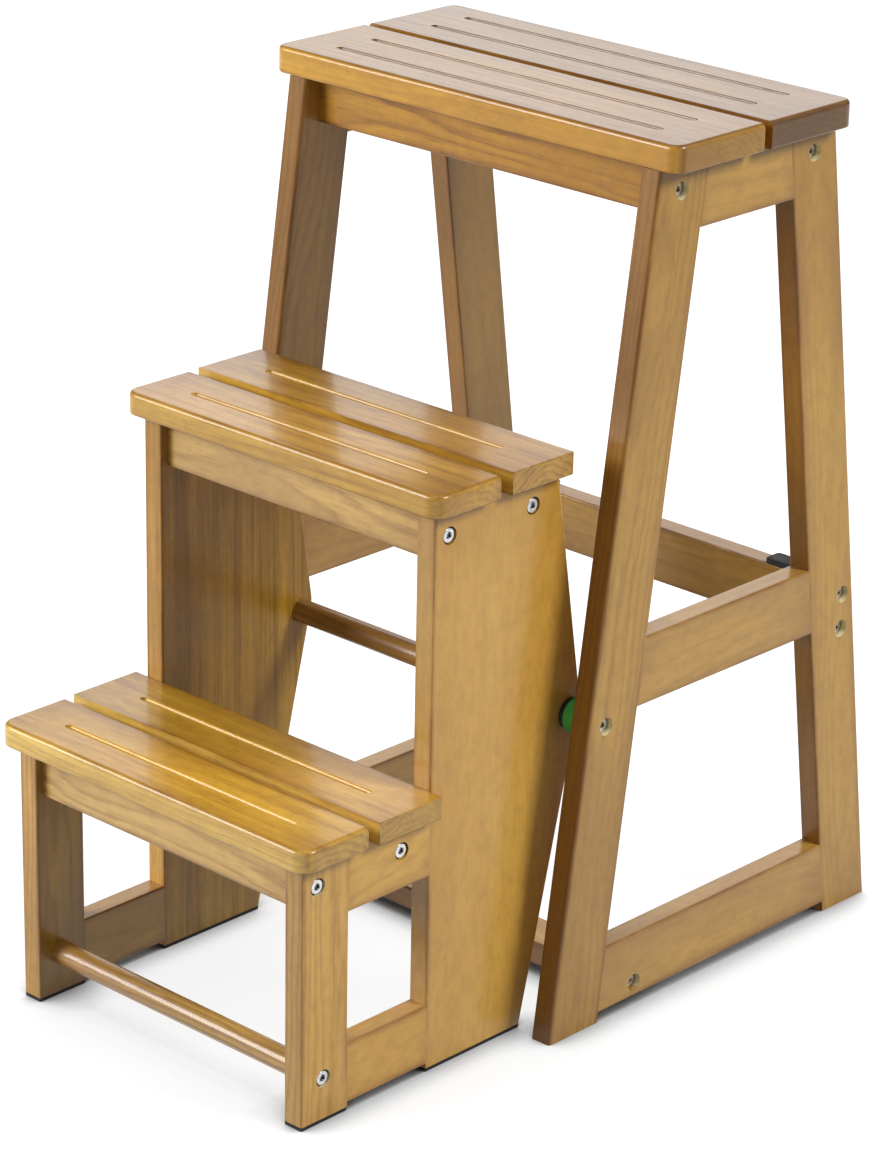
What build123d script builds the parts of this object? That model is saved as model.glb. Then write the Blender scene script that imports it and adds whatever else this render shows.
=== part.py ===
from build123d import *
import os

# Folding wooden step stool: a standing side-frame stool (body "stool") and a two-step unit
# (body "steps") that swings up and over about one cross axis and nests inside the stool.
# Axes: +Z up, the steps face -Y, +X is the right side seen from the front.
# Origin: on the floor, at the centre of the outline. All lengths are in millimetres.

# ---------------------------------------------------------------- driving dimensions
# Overall
SEAT_TOP = 650.0
TOTAL_DEPTH = 588.0

# Seat
SEAT_THICKNESS = 20.0
SEAT_WIDTH = 388.0
SEAT_DEPTH = 192.0
SEAT_GAP = 8.0
SEAT_CORNER_RADIUS = 10.0
SEAT_EDGE_RADIUS = 3.5

# Stool side frames
FRAME_STOCK = 18.0
FRAME_WIDTH = 358.0
FRAME_LEG_WIDTH = 51.0
FOOT_SPREAD = 364.0
TOP_SPREAD = 190.0
BOTTOM_RAIL_LOW = 8.5
BOTTOM_RAIL_HEIGHT = 50.0
MIDDLE_RAIL_LOW = 239.0
MIDDLE_RAIL_HEIGHT = 52.0
TOP_RAIL_HEIGHT = 48.0
FRAME_EDGE_RADIUS = 2.5
WINDOW_EDGE_RADIUS = 1.5
BAR_EDGE_RADIUS = 1.5

# Cross members of the stool
SEAT_APRON_THICKNESS = 18.0
SEAT_APRON_HEIGHT = 35.0
SEAT_APRON_SPACING = 144.0
CROSS_RAIL_OFFSET = 133.5
CROSS_RAIL_THICKNESS = 18.0
CROSS_RAIL_LOW = 225.0
CROSS_RAIL_HEIGHT = 45.0
STRETCHER_OFFSET = -90.5
STRETCHER_DEPTH = 34.0
STRETCHER_LOW = 9.5
STRETCHER_THICKNESS = 18.0
BUMPER_LENGTH = 48.0
BUMPER_DEPTH = 17.0
BUMPER_THICKNESS = 4.0
BUMPER_INNER_X = 110.0
BUMPER_CORNER_RADIUS = 4.0

# Step unit
STEP_STOCK = 17.0
STEP_WIDTH = 287.0
TREAD_WIDTH = 310.0
TREAD_THICKNESS = 17.0
TREAD_CORNER_RADIUS = 12.0
TREAD_EDGE_RADIUS = 3.5
TREAD_OVERHANG = 10.0
UPPER_TREAD_TOP = 437.0
UPPER_TREAD_DEPTH = 136.0
UPPER_TREAD_GAP = 12.0
LOWER_TREAD_TOP = 217.0
LOWER_TREAD_DEPTH = 133.0
LOWER_TREAD_GAP = 11.0
STEP_LEG_WIDTH = 44.5
STEP_RAIL_LOW = 7.0
STEP_LOWER_RAIL_HEIGHT = 45.0
STEP_UPPER_RAIL_HEIGHT = 47.5
STEP_APRON_THICKNESS = 15.0
STEP_APRON_HEIGHT = 37.5
STEP_APRON_RECESS = 7.0
UPPER_REAR_APRON_INSET = 28.0
LOWER_REAR_APRON_INSET = 27.5
PANEL_FOOT_DEPTH = 98.0
PANEL_KINK_DEPTH = 154.0
PANEL_TOP_DEPTH = 123.5
PANEL_KINK_HEIGHT = 239.0
PANEL_KINK_RADIUS = 22.0
STEP_EDGE_RADIUS = 1.5
FOOT_PAD_THICKNESS = 3.0
FOOT_PAD_INSET = 0.5

# Round rods
ROD_RADIUS = 9.0
ROD_SOCKET_DEPTH = 6.0
ROD_BORE_DEPTH = 45.0
FOOT_ROD_SETBACK = 21.0
FOOT_ROD_HEIGHT = 34.0

# Pivot of the step unit
PIVOT_SETBACK = 131.5
PIVOT_HEIGHT = 234.0
PIVOT_SPACER_RADIUS = 13.0
PIVOT_PAD_RADIUS = 11.5
PIVOT_PAD_THICKNESS = 5.0
PIVOT_RUNNING_GAP = 0.4
PIVOT_BOLT_LENGTH = 64.0
PIVOT_CLEARANCE = 0.06

# Grooves in the seat boards and treads
GROOVE_RADIUS = 3.0
SEAT_GROOVE_LENGTH = 312.0
SEAT_GROOVE_OFFSET = 18.0
TREAD_GROOVE_LENGTH = 232.0

# Hardware
BOLT_RADIUS = 3.0
BOLT_LENGTH = 46.0
BOLT_HEAD_RADIUS = 5.5
BOLT_HEAD_HEIGHT = 3.5
BOLT_SOCKET_FLATS = 5.0
BOLT_SOCKET_DEPTH = 2.2
BOLT_HEAD_ROUND = 0.9
COUNTERBORE_RADIUS = 6.6
FRAME_HEAD_RECESS = 4.5
STEP_HEAD_RECESS = 0.8
BARREL_RADIUS = 5.0
BARREL_LENGTH = 14.0
BARREL_SETBACK = 25.0
INSERT_RADIUS = 5.0
INSERT_LENGTH = 22.0
CROSS_RAIL_BOLT_SPACING = 27.5

# Hidden wooden dowels
DOWEL_RADIUS = 4.0
JOINT_DOWEL_LENGTH = 30.0
JOINT_DOWEL_SPACING = 24.0
BOARD_DOWEL_LENGTH = 24.0
BOARD_DOWEL_DEPTH = 9.0
SEAT_DOWEL_POSITIONS = (-120.0, 0.0, 120.0)
TREAD_DOWEL_POSITIONS = (-85.0, 0.0, 85.0)
FIT_GAP = 0.05

# Small roundings
SMALL_ROUND = 1.5
REAR_TREAD_EDGE_RADIUS = 0.75
DISC_CHAMFER = 0.5

# Modelling allowances
CUT_MARGIN = 1.0
NEAR = 1.0
SHORT_EDGE = 10.0
JOINT_DOWEL_END_GAP = 1.0
BOARD_DOWEL_END_GAP = 0.5

# ---------------------------------------------------------------- derived positions
SIDES = {"left": -1, "right": 1}

SEAT_LOW = SEAT_TOP - SEAT_THICKNESS
FRAME_MID_Y = TOTAL_DEPTH / 2 - FOOT_SPREAD / 2
LEG_SLOPE = (FOOT_SPREAD - TOP_SPREAD) / 2 / SEAT_LOW
FRAME_OUT = FRAME_WIDTH / 2
FRAME_IN = FRAME_OUT - FRAME_STOCK
FRAME_RAILS = {
    "bottom_rail": (BOTTOM_RAIL_LOW, BOTTOM_RAIL_HEIGHT),
    "middle_rail": (MIDDLE_RAIL_LOW, MIDDLE_RAIL_HEIGHT),
    "top_rail": (SEAT_LOW - TOP_RAIL_HEIGHT, TOP_RAIL_HEIGHT),
}
CROSS_RAIL_Y = FRAME_MID_Y + CROSS_RAIL_OFFSET
CROSS_RAIL_TOP = CROSS_RAIL_LOW + CROSS_RAIL_HEIGHT
STRETCHER_Y = FRAME_MID_Y + STRETCHER_OFFSET

STEP_OUT = STEP_WIDTH / 2
STEP_IN = STEP_OUT - STEP_STOCK
STEP_FRONT_Y = -TOTAL_DEPTH / 2
PANEL_FRONT_Y = STEP_FRONT_Y + LOWER_TREAD_DEPTH
STEP_LEG_FRONT_Y = STEP_FRONT_Y + TREAD_OVERHANG
STEP_LEG_REAR_Y = STEP_LEG_FRONT_Y + STEP_LEG_WIDTH
UPPER_TREAD_LOW = UPPER_TREAD_TOP - TREAD_THICKNESS
LOWER_TREAD_LOW = LOWER_TREAD_TOP - TREAD_THICKNESS
UPPER_TREAD_FRONT_Y = PANEL_FRONT_Y - TREAD_OVERHANG
STEP_RAILS = {
    "step_lower_rail": (STEP_RAIL_LOW, STEP_LOWER_RAIL_HEIGHT),
    "step_upper_rail": (LOWER_TREAD_LOW - STEP_UPPER_RAIL_HEIGHT, STEP_UPPER_RAIL_HEIGHT),
}
PIVOT_Y = FRAME_MID_Y - PIVOT_SETBACK
FOOT_ROD_Y = STEP_LEG_FRONT_Y + FOOT_ROD_SETBACK


def leg_offset(height):
    """Distance of a leg's outer edge from the stool's middle plane at a height."""
    return FOOT_SPREAD / 2 - LEG_SLOPE * height


# ---------------------------------------------------------------- shape helpers
def side_plate(points, x_low, thickness):
    """Plate with a (Y, Z) outline, lying in a plane across X."""
    outline = Polyline(*[(x_low, y, z) for y, z in points], close=True)
    return extrude(make_face(outline), amount=thickness, dir=(1, 0, 0))


def block(x_low, x_high, y_low, y_high, z_low, z_high):
    """Rectangular block between two corners."""
    size = (x_high - x_low, y_high - y_low, z_high - z_low)
    return Pos(x_low, y_low, z_low) * Box(*size, align=(Align.MIN, Align.MIN, Align.MIN))


def x_rod(x_low, x_high, y, z, radius):
    """Round bar along X."""
    bar = Cylinder(radius, x_high - x_low, align=(Align.CENTER, Align.CENTER, Align.MIN))
    return Pos(x_low, y, z) * Rot(0, 90, 0) * bar


def y_rod(x, y_low, y_high, z, radius):
    """Round bar along Y."""
    bar = Cylinder(radius, y_high - y_low, align=(Align.CENTER, Align.CENTER, Align.MIN))
    return Pos(x, y_low, z) * Rot(-90, 0, 0) * bar


def z_rod(x, y, z_low, z_high, radius):
    """Round bar along Z."""
    bar = Cylinder(radius, z_high - z_low, align=(Align.CENTER, Align.CENTER, Align.MIN))
    return Pos(x, y, z_low) * bar


def mirrored(shape):
    """The same shape on the other side of the middle plane."""
    return mirror(shape, about=Plane.YZ)


def on_side(shape, side):
    """A right-hand shape placed on the asked side."""
    return shape if side > 0 else mirrored(shape)


def edges_along(shape, direction, *conditions):
    """Straight edges along a direction whose centres pass every condition."""
    found = shape.edges().filter_by(direction)
    for condition in conditions:
        found = found.filter_by(lambda edge: condition(edge.center()))
    return found


def rounded_outline(plate, x_low, thickness, radius, *conditions):
    """Round the straight edges of a plate's two broad faces whose centres pass every condition."""
    for x in (x_low, x_low + thickness):
        in_face = [edge for edge in plate.edges().filter_by(GeomType.LINE)
                   if abs(edge.position_at(0).X - x) < FIT_GAP and abs(edge.position_at(1).X - x) < FIT_GAP]
        chosen = [edge for edge in in_face
                  if edge.length > SHORT_EDGE and all(passes(edge.center()) for passes in conditions)]
        plate = fillet(chosen, radius)
    return plate


def hex_prism(x_low, x_high, y, z, flats):
    """Hexagonal bar along X."""
    hexagon = RegularPolygon(flats / 2, 6, major_radius=False)
    profile = Plane(origin=(x_low, y, z), z_dir=(1, 0, 0)) * hexagon
    return extrude(profile, amount=x_high - x_low, dir=(1, 0, 0))


def group(solids):
    """Separate solids kept together in one node."""
    return Compound(children=list(solids))


# ---------------------------------------------------------------- hardware
def screw_bolt(head_x, y, z, length, shank_radius):
    """Right-hand bolt along X: a low round head with a hex socket, its outer face at head_x."""
    head = x_rod(head_x - BOLT_HEAD_HEIGHT, head_x, y, z, BOLT_HEAD_RADIUS)
    rim = head.edges().filter_by(GeomType.CIRCLE).sort_by(Axis.X)[-1]
    head = fillet(rim, BOLT_HEAD_ROUND)
    head -= hex_prism(head_x - BOLT_SOCKET_DEPTH, head_x + CUT_MARGIN, y, z, BOLT_SOCKET_FLATS)
    shank = x_rod(head_x - BOLT_HEAD_HEIGHT - length, head_x - BOLT_HEAD_HEIGHT, y, z, shank_radius)
    return head + shank


def bolt_cut(outer_x, recess, y, z, hole_radius):
    """Counterbore and through hole for a bolt that enters a right-hand face at outer_x."""
    floor_x = outer_x - recess - BOLT_HEAD_HEIGHT
    cut = x_rod(floor_x, outer_x + CUT_MARGIN, y, z, COUNTERBORE_RADIUS)
    return cut + x_rod(outer_x - FRAME_STOCK - CUT_MARGIN, floor_x + CUT_MARGIN, y, z, hole_radius)


def shank_cut(face_x, y, z, depth):
    """Blind hole for a bolt's shank in the right-hand end of a cross member."""
    return x_rod(face_x - depth, face_x + CUT_MARGIN, y, z, BOLT_RADIUS + FIT_GAP)


def barrel_nut(face_x, y, z, along_y):
    """Cylindrical cross nut a set distance inside the right-hand end of a cross member."""
    x = face_x - BARREL_SETBACK
    half = BARREL_LENGTH / 2
    if along_y:
        body = y_rod(x, y - half, y + half, z, BARREL_RADIUS)
    else:
        body = z_rod(x, y, z - half, z + half, BARREL_RADIUS)
    return body - x_rod(x - 2 * BARREL_RADIUS, x + 2 * BARREL_RADIUS, y, z, BOLT_RADIUS + FIT_GAP)


def barrel_cut(face_x, y, z, along_y, reach):
    """Bore for a cross nut, open on the rear or the under side of a cross member."""
    x = face_x - BARREL_SETBACK
    half = BARREL_LENGTH / 2
    if along_y:
        return y_rod(x, y - half, y + reach, z, BARREL_RADIUS + FIT_GAP)
    return z_rod(x, y, z - reach, z + half, BARREL_RADIUS + FIT_GAP)


def rod_insert(face_x, y, z, hole_radius):
    """Threaded sleeve let into the right-hand end of a round rod."""
    sleeve = x_rod(face_x - INSERT_LENGTH, face_x, y, z, INSERT_RADIUS)
    low = face_x - INSERT_LENGTH - CUT_MARGIN
    return sleeve - x_rod(low, face_x + CUT_MARGIN, y, z, hole_radius)


# Bolt positions (Y, Z) on the stool's right side, under the member that each one goes through
FRONT_APRON_Y = FRAME_MID_Y - SEAT_APRON_SPACING / 2
REAR_APRON_Y = FRAME_MID_Y + SEAT_APRON_SPACING / 2
SEAT_APRON_Z = SEAT_LOW - SEAT_APRON_HEIGHT / 2
CROSS_RAIL_Z = CROSS_RAIL_LOW + CROSS_RAIL_HEIGHT / 2
STRETCHER_Z = STRETCHER_LOW + STRETCHER_THICKNESS / 2

FRAME_BOLTS = {
    "front_leg": [(FRONT_APRON_Y, SEAT_APRON_Z)],
    "rear_leg": [
        (REAR_APRON_Y, SEAT_APRON_Z),
        (CROSS_RAIL_Y, CROSS_RAIL_Z + CROSS_RAIL_BOLT_SPACING / 2),
        (CROSS_RAIL_Y, CROSS_RAIL_Z - CROSS_RAIL_BOLT_SPACING / 2),
    ],
    "bottom_rail": [(STRETCHER_Y, STRETCHER_Z)],
}

UPPER_APRON_Z = UPPER_TREAD_LOW - STEP_APRON_HEIGHT / 2
LOWER_APRON_Z = LOWER_TREAD_LOW - STEP_APRON_HEIGHT / 2
STEP_APRONS = {
    "upper_apron_front": (PANEL_FRONT_Y + STEP_APRON_RECESS + STEP_APRON_THICKNESS / 2, UPPER_APRON_Z),
    "upper_apron_rear": (UPPER_TREAD_FRONT_Y + UPPER_TREAD_DEPTH - UPPER_REAR_APRON_INSET, UPPER_APRON_Z),
    "lower_apron_front": (STEP_LEG_FRONT_Y + STEP_APRON_RECESS + STEP_APRON_THICKNESS / 2, LOWER_APRON_Z),
    "lower_apron_rear": (PANEL_FRONT_Y - LOWER_REAR_APRON_INSET, LOWER_APRON_Z),
}


# ---------------------------------------------------------------- joint dowels of the sides
def dowel_heights(low, height):
    """Heights of the two dowels in the end of a rail."""
    middle = low + height / 2
    return (middle - JOINT_DOWEL_SPACING / 2, middle + JOINT_DOWEL_SPACING / 2)


def frame_dowels():
    """(Y, Z) centres of the dowels between the stool's legs and rails."""
    centres = []
    for low, height in FRAME_RAILS.values():
        for z in dowel_heights(low, height):
            joint = leg_offset(z) - FRAME_LEG_WIDTH
            centres += [(FRAME_MID_Y - joint, z), (FRAME_MID_Y + joint, z)]
    return centres


def step_dowels():
    """(Y, Z) centres of the dowels between the step unit's legs, rails and panels."""
    centres = []
    for low, height in STEP_RAILS.values():
        for z in dowel_heights(low, height):
            centres += [(STEP_LEG_REAR_Y, z), (PANEL_FRONT_Y, z)]
    return centres


def joint_dowels(centres, x, radius, extra):
    """Dowels along Y at given (Y, Z) centres, lengthened by extra at each end."""
    half = JOINT_DOWEL_LENGTH / 2 + extra
    return [y_rod(x, y - half, y + half, z, radius) for y, z in centres]


def cut_joint_dowels(shape, centres, x):
    """Dowel holes in a leg, rail or panel."""
    for hole in joint_dowels(centres, x, DOWEL_RADIUS + FIT_GAP, JOINT_DOWEL_END_GAP):
        shape -= hole
    return shape


def board_dowel(x, y, face_z, radius, extra):
    """Dowel that stands in an apron and reaches up into the board above it."""
    return z_rod(x, y, face_z + BOARD_DOWEL_DEPTH - BOARD_DOWEL_LENGTH - extra,
                 face_z + BOARD_DOWEL_DEPTH + extra, radius)


def cut_board_dowels(shape, positions, y, face_z):
    """Board dowel holes at several X positions."""
    for x in positions:
        shape -= board_dowel(x, y, face_z, DOWEL_RADIUS + FIT_GAP, BOARD_DOWEL_END_GAP)
    return shape


# ---------------------------------------------------------------- stool side frames
FRAME_MID_X = FRAME_OUT - FRAME_STOCK / 2




def frame_leg_outline(side):
    """(Y, Z) corners of the front (-1) or rear (+1) leg, which leans towards the seat."""
    foot = FRAME_MID_Y + side * leg_offset(0)
    top = FRAME_MID_Y + side * leg_offset(SEAT_LOW)
    inward = -side * FRAME_LEG_WIDTH
    return [(foot, 0), (foot + inward, 0), (top + inward, SEAT_LOW), (top, SEAT_LOW)]


def frame_rail_outline(low, height):
    """(Y, Z) corners of a rail between the two legs, its ends cut to the legs' slopes."""
    high = low + height
    at_low = leg_offset(low) - FRAME_LEG_WIDTH
    at_high = leg_offset(high) - FRAME_LEG_WIDTH
    return [(FRAME_MID_Y - at_low, low), (FRAME_MID_Y + at_low, low),
            (FRAME_MID_Y + at_high, high), (FRAME_MID_Y - at_high, high)]


FRAME_OUTLINES = {
    "front_leg": frame_leg_outline(-1),
    "rear_leg": frame_leg_outline(1),
    **{name: frame_rail_outline(*rail) for name, rail in FRAME_RAILS.items()},
}


def is_outer_leg_edge(centre):
    """True on the long outer edges of the two legs."""
    return abs(abs(centre.Y - FRAME_MID_Y) - leg_offset(centre.Z)) < NEAR


def is_frame_window_edge(centre):
    """True on the edges around the two openings of a side frame."""
    low = BOTTOM_RAIL_LOW + NEAR
    return low < centre.Z < SEAT_LOW - NEAR and not is_outer_leg_edge(centre)


def frame_side():
    """Right side frame in one piece, its edges rounded as after glueing up."""
    side = sum((side_plate(points, FRAME_IN, FRAME_STOCK) for points in FRAME_OUTLINES.values()), Part())
    side = rounded_outline(side, FRAME_IN, FRAME_STOCK, FRAME_EDGE_RADIUS, is_outer_leg_edge)
    return rounded_outline(side, FRAME_IN, FRAME_STOCK, WINDOW_EDGE_RADIUS, is_frame_window_edge)


def frame_member(name, whole):
    """One right-hand leg or rail, cut out of the side frame, with its bolt and dowel holes."""
    member = whole & side_plate(FRAME_OUTLINES[name], FRAME_IN, FRAME_STOCK)
    for y, z in FRAME_BOLTS.get(name, []):
        member -= bolt_cut(FRAME_OUT, FRAME_HEAD_RECESS, y, z, BOLT_RADIUS + FIT_GAP)
    if name == "front_leg":
        member -= bolt_cut(FRAME_OUT, FRAME_HEAD_RECESS, PIVOT_Y, PIVOT_HEIGHT,
                           BOLT_RADIUS + PIVOT_CLEARANCE)
    return cut_joint_dowels(member, frame_dowels(), FRAME_MID_X)


# ---------------------------------------------------------------- boards with grooves
def plain_board(width, y_low, y_high, z_low, thickness, outer_side, corner_radius, edge_radius):
    """Board with rounded corners and a soft top edge on its outer side (-1 front, +1 rear)."""
    board = block(-width / 2, width / 2, y_low, y_high, z_low, z_low + thickness)
    outer_y = y_low if outer_side < 0 else y_high
    inner_y = y_high if outer_side < 0 else y_low
    corners = edges_along(board, Axis.Z, lambda c: abs(c.Y - outer_y) < NEAR)
    board = fillet(corners, corner_radius)
    top = z_low + thickness
    inner = edges_along(board, Axis.X, lambda c: abs(c.Y - inner_y) < NEAR and abs(c.Z - top) < NEAR)
    rim = board.faces().sort_by(Axis.Z)[-1].edges() - inner
    board = fillet(rim, edge_radius)
    under = board.faces().sort_by(Axis.Z)[0].edges()
    under -= edges_along(board, Axis.X, lambda c: abs(c.Y - inner_y) < NEAR and abs(c.Z - z_low) < NEAR)
    return fillet(under, SMALL_ROUND)


def groove(length, y, z):
    """Half-round groove along X with rounded ends."""
    half = length / 2 - GROOVE_RADIUS
    cutter = x_rod(-half, half, y, z, GROOVE_RADIUS)
    for x in (-half, half):
        cutter += Pos(x, y, z) * Sphere(GROOVE_RADIUS)
    return cutter


def seat_board(outer_side):
    """Front (-1) or rear (+1) seat board with two grooves."""
    inner = FRAME_MID_Y + outer_side * SEAT_GAP / 2
    outer = FRAME_MID_Y + outer_side * SEAT_DEPTH / 2
    y_low, y_high = sorted((inner, outer))
    board = plain_board(SEAT_WIDTH, y_low, y_high, SEAT_LOW, SEAT_THICKNESS, outer_side,
                        SEAT_CORNER_RADIUS, SEAT_EDGE_RADIUS)
    middle = (y_low + y_high) / 2
    for offset in (-SEAT_GROOVE_OFFSET, SEAT_GROOVE_OFFSET):
        board -= groove(SEAT_GROOVE_LENGTH, middle + offset, SEAT_TOP)
    apron_y = FRONT_APRON_Y if outer_side < 0 else REAR_APRON_Y
    return cut_board_dowels(board, SEAT_DOWEL_POSITIONS, apron_y, SEAT_LOW)


def tread_board(front_y, depth, gap, low, outer_side, apron_y):
    """Front (-1) or rear (+1) board of a tread, with one groove."""
    board_depth = (depth - gap) / 2
    y_low = front_y if outer_side < 0 else front_y + depth - board_depth
    y_high = y_low + board_depth
    corner = TREAD_CORNER_RADIUS if outer_side < 0 else SMALL_ROUND
    edge = TREAD_EDGE_RADIUS if outer_side < 0 else REAR_TREAD_EDGE_RADIUS
    board = plain_board(TREAD_WIDTH, y_low, y_high, low, TREAD_THICKNESS, outer_side, corner, edge)
    board -= groove(TREAD_GROOVE_LENGTH, (y_low + y_high) / 2, low + TREAD_THICKNESS)
    return cut_board_dowels(board, TREAD_DOWEL_POSITIONS, apron_y, low)


# ---------------------------------------------------------------- cross members of the stool
def bolted_bar(half_length, y_low, y_high, z_low, z_high, bolts, along_y, under_board):
    """Cross member with a shank hole and a cross-nut bore at each end for every bolt.

    Its long edges are rounded, apart from the upper two where it lies under a board.
    """
    bar = block(-half_length, half_length, y_low, y_high, z_low, z_high)
    free_edges = edges_along(bar, Axis.X, lambda c: not under_board or c.Z < z_high - NEAR)
    bar = fillet(free_edges, BAR_EDGE_RADIUS)
    reach = (y_high - y_low) if along_y else (z_high - z_low)
    for y, z in bolts:
        cut = shank_cut(half_length, y, z, BOLT_LENGTH)
        cut += barrel_cut(half_length, y, z, along_y, reach)
        bar -= cut
        bar -= mirrored(cut)
    return bar


def seat_apron(y):
    """Apron under the seat, between the side frames."""
    half = SEAT_APRON_THICKNESS / 2
    bar = bolted_bar(FRAME_IN, y - half, y + half, SEAT_LOW - SEAT_APRON_HEIGHT, SEAT_LOW,
                     [(y, SEAT_APRON_Z)], False, True)
    return cut_board_dowels(bar, SEAT_DOWEL_POSITIONS, y, SEAT_LOW)


def rear_cross_rail():
    """Upright rail between the rear legs that carries the folded steps."""
    half = CROSS_RAIL_THICKNESS / 2
    bolts = FRAME_BOLTS["rear_leg"][1:]
    return bolted_bar(FRAME_IN, CROSS_RAIL_Y - half, CROSS_RAIL_Y + half, CROSS_RAIL_LOW,
                      CROSS_RAIL_TOP, bolts, True, False)


def lower_stretcher():
    """Flat bar between the bottom rails, just behind the front legs."""
    half = STRETCHER_DEPTH / 2
    return bolted_bar(FRAME_IN, STRETCHER_Y - half, STRETCHER_Y + half, STRETCHER_LOW,
                      STRETCHER_LOW + STRETCHER_THICKNESS, [(STRETCHER_Y, STRETCHER_Z)], False, False)


def rest_bumper():
    """Right-hand rubber pad on the cross rail, with rounded corners and a soft top edge."""
    half = BUMPER_DEPTH / 2
    pad = block(BUMPER_INNER_X, BUMPER_INNER_X + BUMPER_LENGTH, CROSS_RAIL_Y - half,
                CROSS_RAIL_Y + half, CROSS_RAIL_TOP, CROSS_RAIL_TOP + BUMPER_THICKNESS)
    pad = fillet(pad.edges().filter_by(Axis.Z), BUMPER_CORNER_RADIUS)
    return fillet(pad.faces().sort_by(Axis.Z)[-1].edges(), SMALL_ROUND)


# ---------------------------------------------------------------- step unit
STEP_MID_X = STEP_OUT - STEP_STOCK / 2


def cut_step_bolts(shape, names):
    """Counterbored bolt holes for the aprons that a panel or leg carries."""
    for name in names:
        y, z = STEP_APRONS[name]
        shape -= bolt_cut(STEP_OUT, STEP_HEAD_RECESS, y, z, BOLT_RADIUS + FIT_GAP)
    return shape


def rod_socket(y, z):
    """Blind socket for a round rod on the inner side of a right-hand panel or leg."""
    return x_rod(STEP_IN - CUT_MARGIN, STEP_IN + ROD_SOCKET_DEPTH, y, z, ROD_RADIUS + FIT_GAP)


def panel_outline():
    """(Y, Z) corners of a side panel of the upper step, kinked near the pivot's height."""
    front = PANEL_FRONT_Y
    return [(front, FOOT_PAD_THICKNESS), (front + PANEL_FOOT_DEPTH, FOOT_PAD_THICKNESS),
            (front + PANEL_KINK_DEPTH, PANEL_KINK_HEIGHT),
            (front + PANEL_TOP_DEPTH, UPPER_TREAD_LOW), (front, UPPER_TREAD_LOW)]


def rectangle(y_low, y_high, z_low, z_high):
    """(Y, Z) corners of an upright rectangle."""
    return [(y_low, z_low), (y_high, z_low), (y_high, z_high), (y_low, z_high)]


STEP_OUTLINES = {
    "step_panel": panel_outline(),
    "step_leg": rectangle(STEP_LEG_FRONT_Y, STEP_LEG_REAR_Y, FOOT_PAD_THICKNESS, LOWER_TREAD_LOW),
    **{name: rectangle(STEP_LEG_REAR_Y, PANEL_FRONT_Y, low, low + height)
       for name, (low, height) in STEP_RAILS.items()},
}
STEP_SIDE_BOLTS = {
    "step_panel": ("upper_apron_front", "upper_apron_rear"),
    "step_leg": ("lower_apron_front",),
    "step_upper_rail": ("lower_apron_rear",),
}


def is_step_side_edge(centre):
    """True on the edges of a step side that are free, not under a tread, at the floor or under the rail."""
    under_treads = (UPPER_TREAD_LOW, LOWER_TREAD_LOW)
    return centre.Z > STEP_RAIL_LOW + NEAR and all(abs(centre.Z - z) > NEAR for z in under_treads)


def step_side():
    """Right side of the step unit in one piece, its edges rounded as after glueing up."""
    side = sum((side_plate(points, STEP_IN, STEP_STOCK) for points in STEP_OUTLINES.values()), Part())
    kink = edges_along(side, Axis.X, lambda c: abs(c.Z - PANEL_KINK_HEIGHT) < NEAR)
    side = fillet(kink, PANEL_KINK_RADIUS)
    return rounded_outline(side, STEP_IN, STEP_STOCK, STEP_EDGE_RADIUS, is_step_side_edge)


def step_member(name, whole):
    """One right-hand panel, leg or rail, cut out of the step side, with its holes and sockets."""
    if name == "step_panel":
        region = rectangle(PANEL_FRONT_Y, PANEL_FRONT_Y + PANEL_KINK_DEPTH, FOOT_PAD_THICKNESS,
                           UPPER_TREAD_LOW)
    else:
        region = STEP_OUTLINES[name]
    member = whole & side_plate(region, STEP_IN, STEP_STOCK)
    member = cut_step_bolts(member, STEP_SIDE_BOLTS.get(name, ()))
    if name == "step_panel":
        member -= x_rod(STEP_IN - CUT_MARGIN, STEP_OUT + CUT_MARGIN, PIVOT_Y, PIVOT_HEIGHT,
                        BOLT_RADIUS + FIT_GAP)
        member -= rod_socket(PIVOT_Y, PIVOT_HEIGHT)
    if name == "step_leg":
        member -= bolt_cut(STEP_OUT, STEP_HEAD_RECESS, FOOT_ROD_Y, FOOT_ROD_HEIGHT, BOLT_RADIUS + FIT_GAP)
        member -= rod_socket(FOOT_ROD_Y, FOOT_ROD_HEIGHT)
    return cut_joint_dowels(member, step_dowels(), STEP_MID_X)


def step_apron(name):
    """Apron under a tread, between the panels or the legs."""
    y, z = STEP_APRONS[name]
    half = STEP_APRON_THICKNESS / 2
    low = z - STEP_APRON_HEIGHT / 2
    high = z + STEP_APRON_HEIGHT / 2
    bar = bolted_bar(STEP_IN, y - half, y + half, low, high, [(y, z)], False, True)
    return cut_board_dowels(bar, TREAD_DOWEL_POSITIONS, y, high)


def round_rod(y, z):
    """Round rod between the two sides, seated in their sockets, bored for its inserts."""
    end = STEP_IN + ROD_SOCKET_DEPTH - FIT_GAP
    rod = x_rod(-end, end, y, z, ROD_RADIUS)
    bore = x_rod(end - INSERT_LENGTH - FIT_GAP, end + CUT_MARGIN, y, z, INSERT_RADIUS + FIT_GAP)
    bore += x_rod(end - ROD_BORE_DEPTH, end + CUT_MARGIN, y, z, BOLT_RADIUS + FIT_GAP)
    return rod - bore - mirrored(bore)


def foot_pad(y_low, y_high):
    """Right-hand black pad under a leg or panel of the step unit."""
    return block(STEP_IN + FOOT_PAD_INSET, STEP_OUT - FOOT_PAD_INSET, y_low + FOOT_PAD_INSET,
                 y_high - FOOT_PAD_INSET, 0, FOOT_PAD_THICKNESS)


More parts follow.
